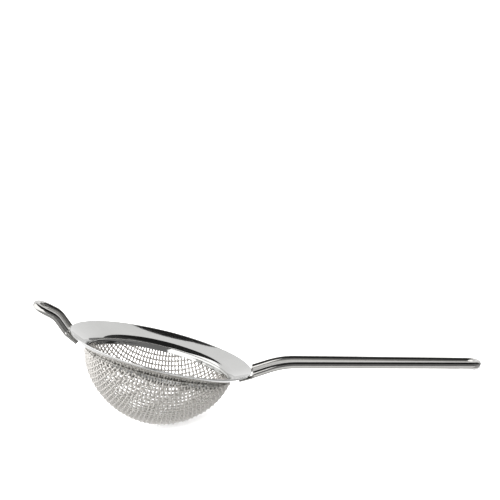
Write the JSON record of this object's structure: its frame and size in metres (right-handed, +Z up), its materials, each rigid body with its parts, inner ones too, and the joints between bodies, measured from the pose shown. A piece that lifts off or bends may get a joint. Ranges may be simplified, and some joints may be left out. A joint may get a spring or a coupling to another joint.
{
  "type": "tea strainer",
  "caption": "Long-handled tea strainer: dished steel flange, wire-cloth bowl, hairpin wire handle and a short wire loop opposite that rests on a cup.",
  "frame": {"origin": "on the table, under the middle of the strainer's footprint as it lies at rest on the bowl and the handle's end", "axes": "+Z up from the table, +X from the bowl towards the handle's free end; the rim is tilted 24.4 degrees towards the handle"},
  "size_m": [0.2192, 0.095, 0.0743],
  "materials": {
    "polished_steel": "polished stainless steel sheet",
    "woven_steel": "plain-weave stainless wire cloth, bright drawn wire",
    "drawn_steel": "bright drawn stainless wire with faint lengthwise draw marks"
  },
  "bodies": {
    "root": {"rim_flange": "polished_steel", "cloth_ring": "polished_steel", "mesh_bowl": "woven_steel", "handle_wire": "drawn_steel", "rest_loop": "drawn_steel"}
  },
  "joints": []
}
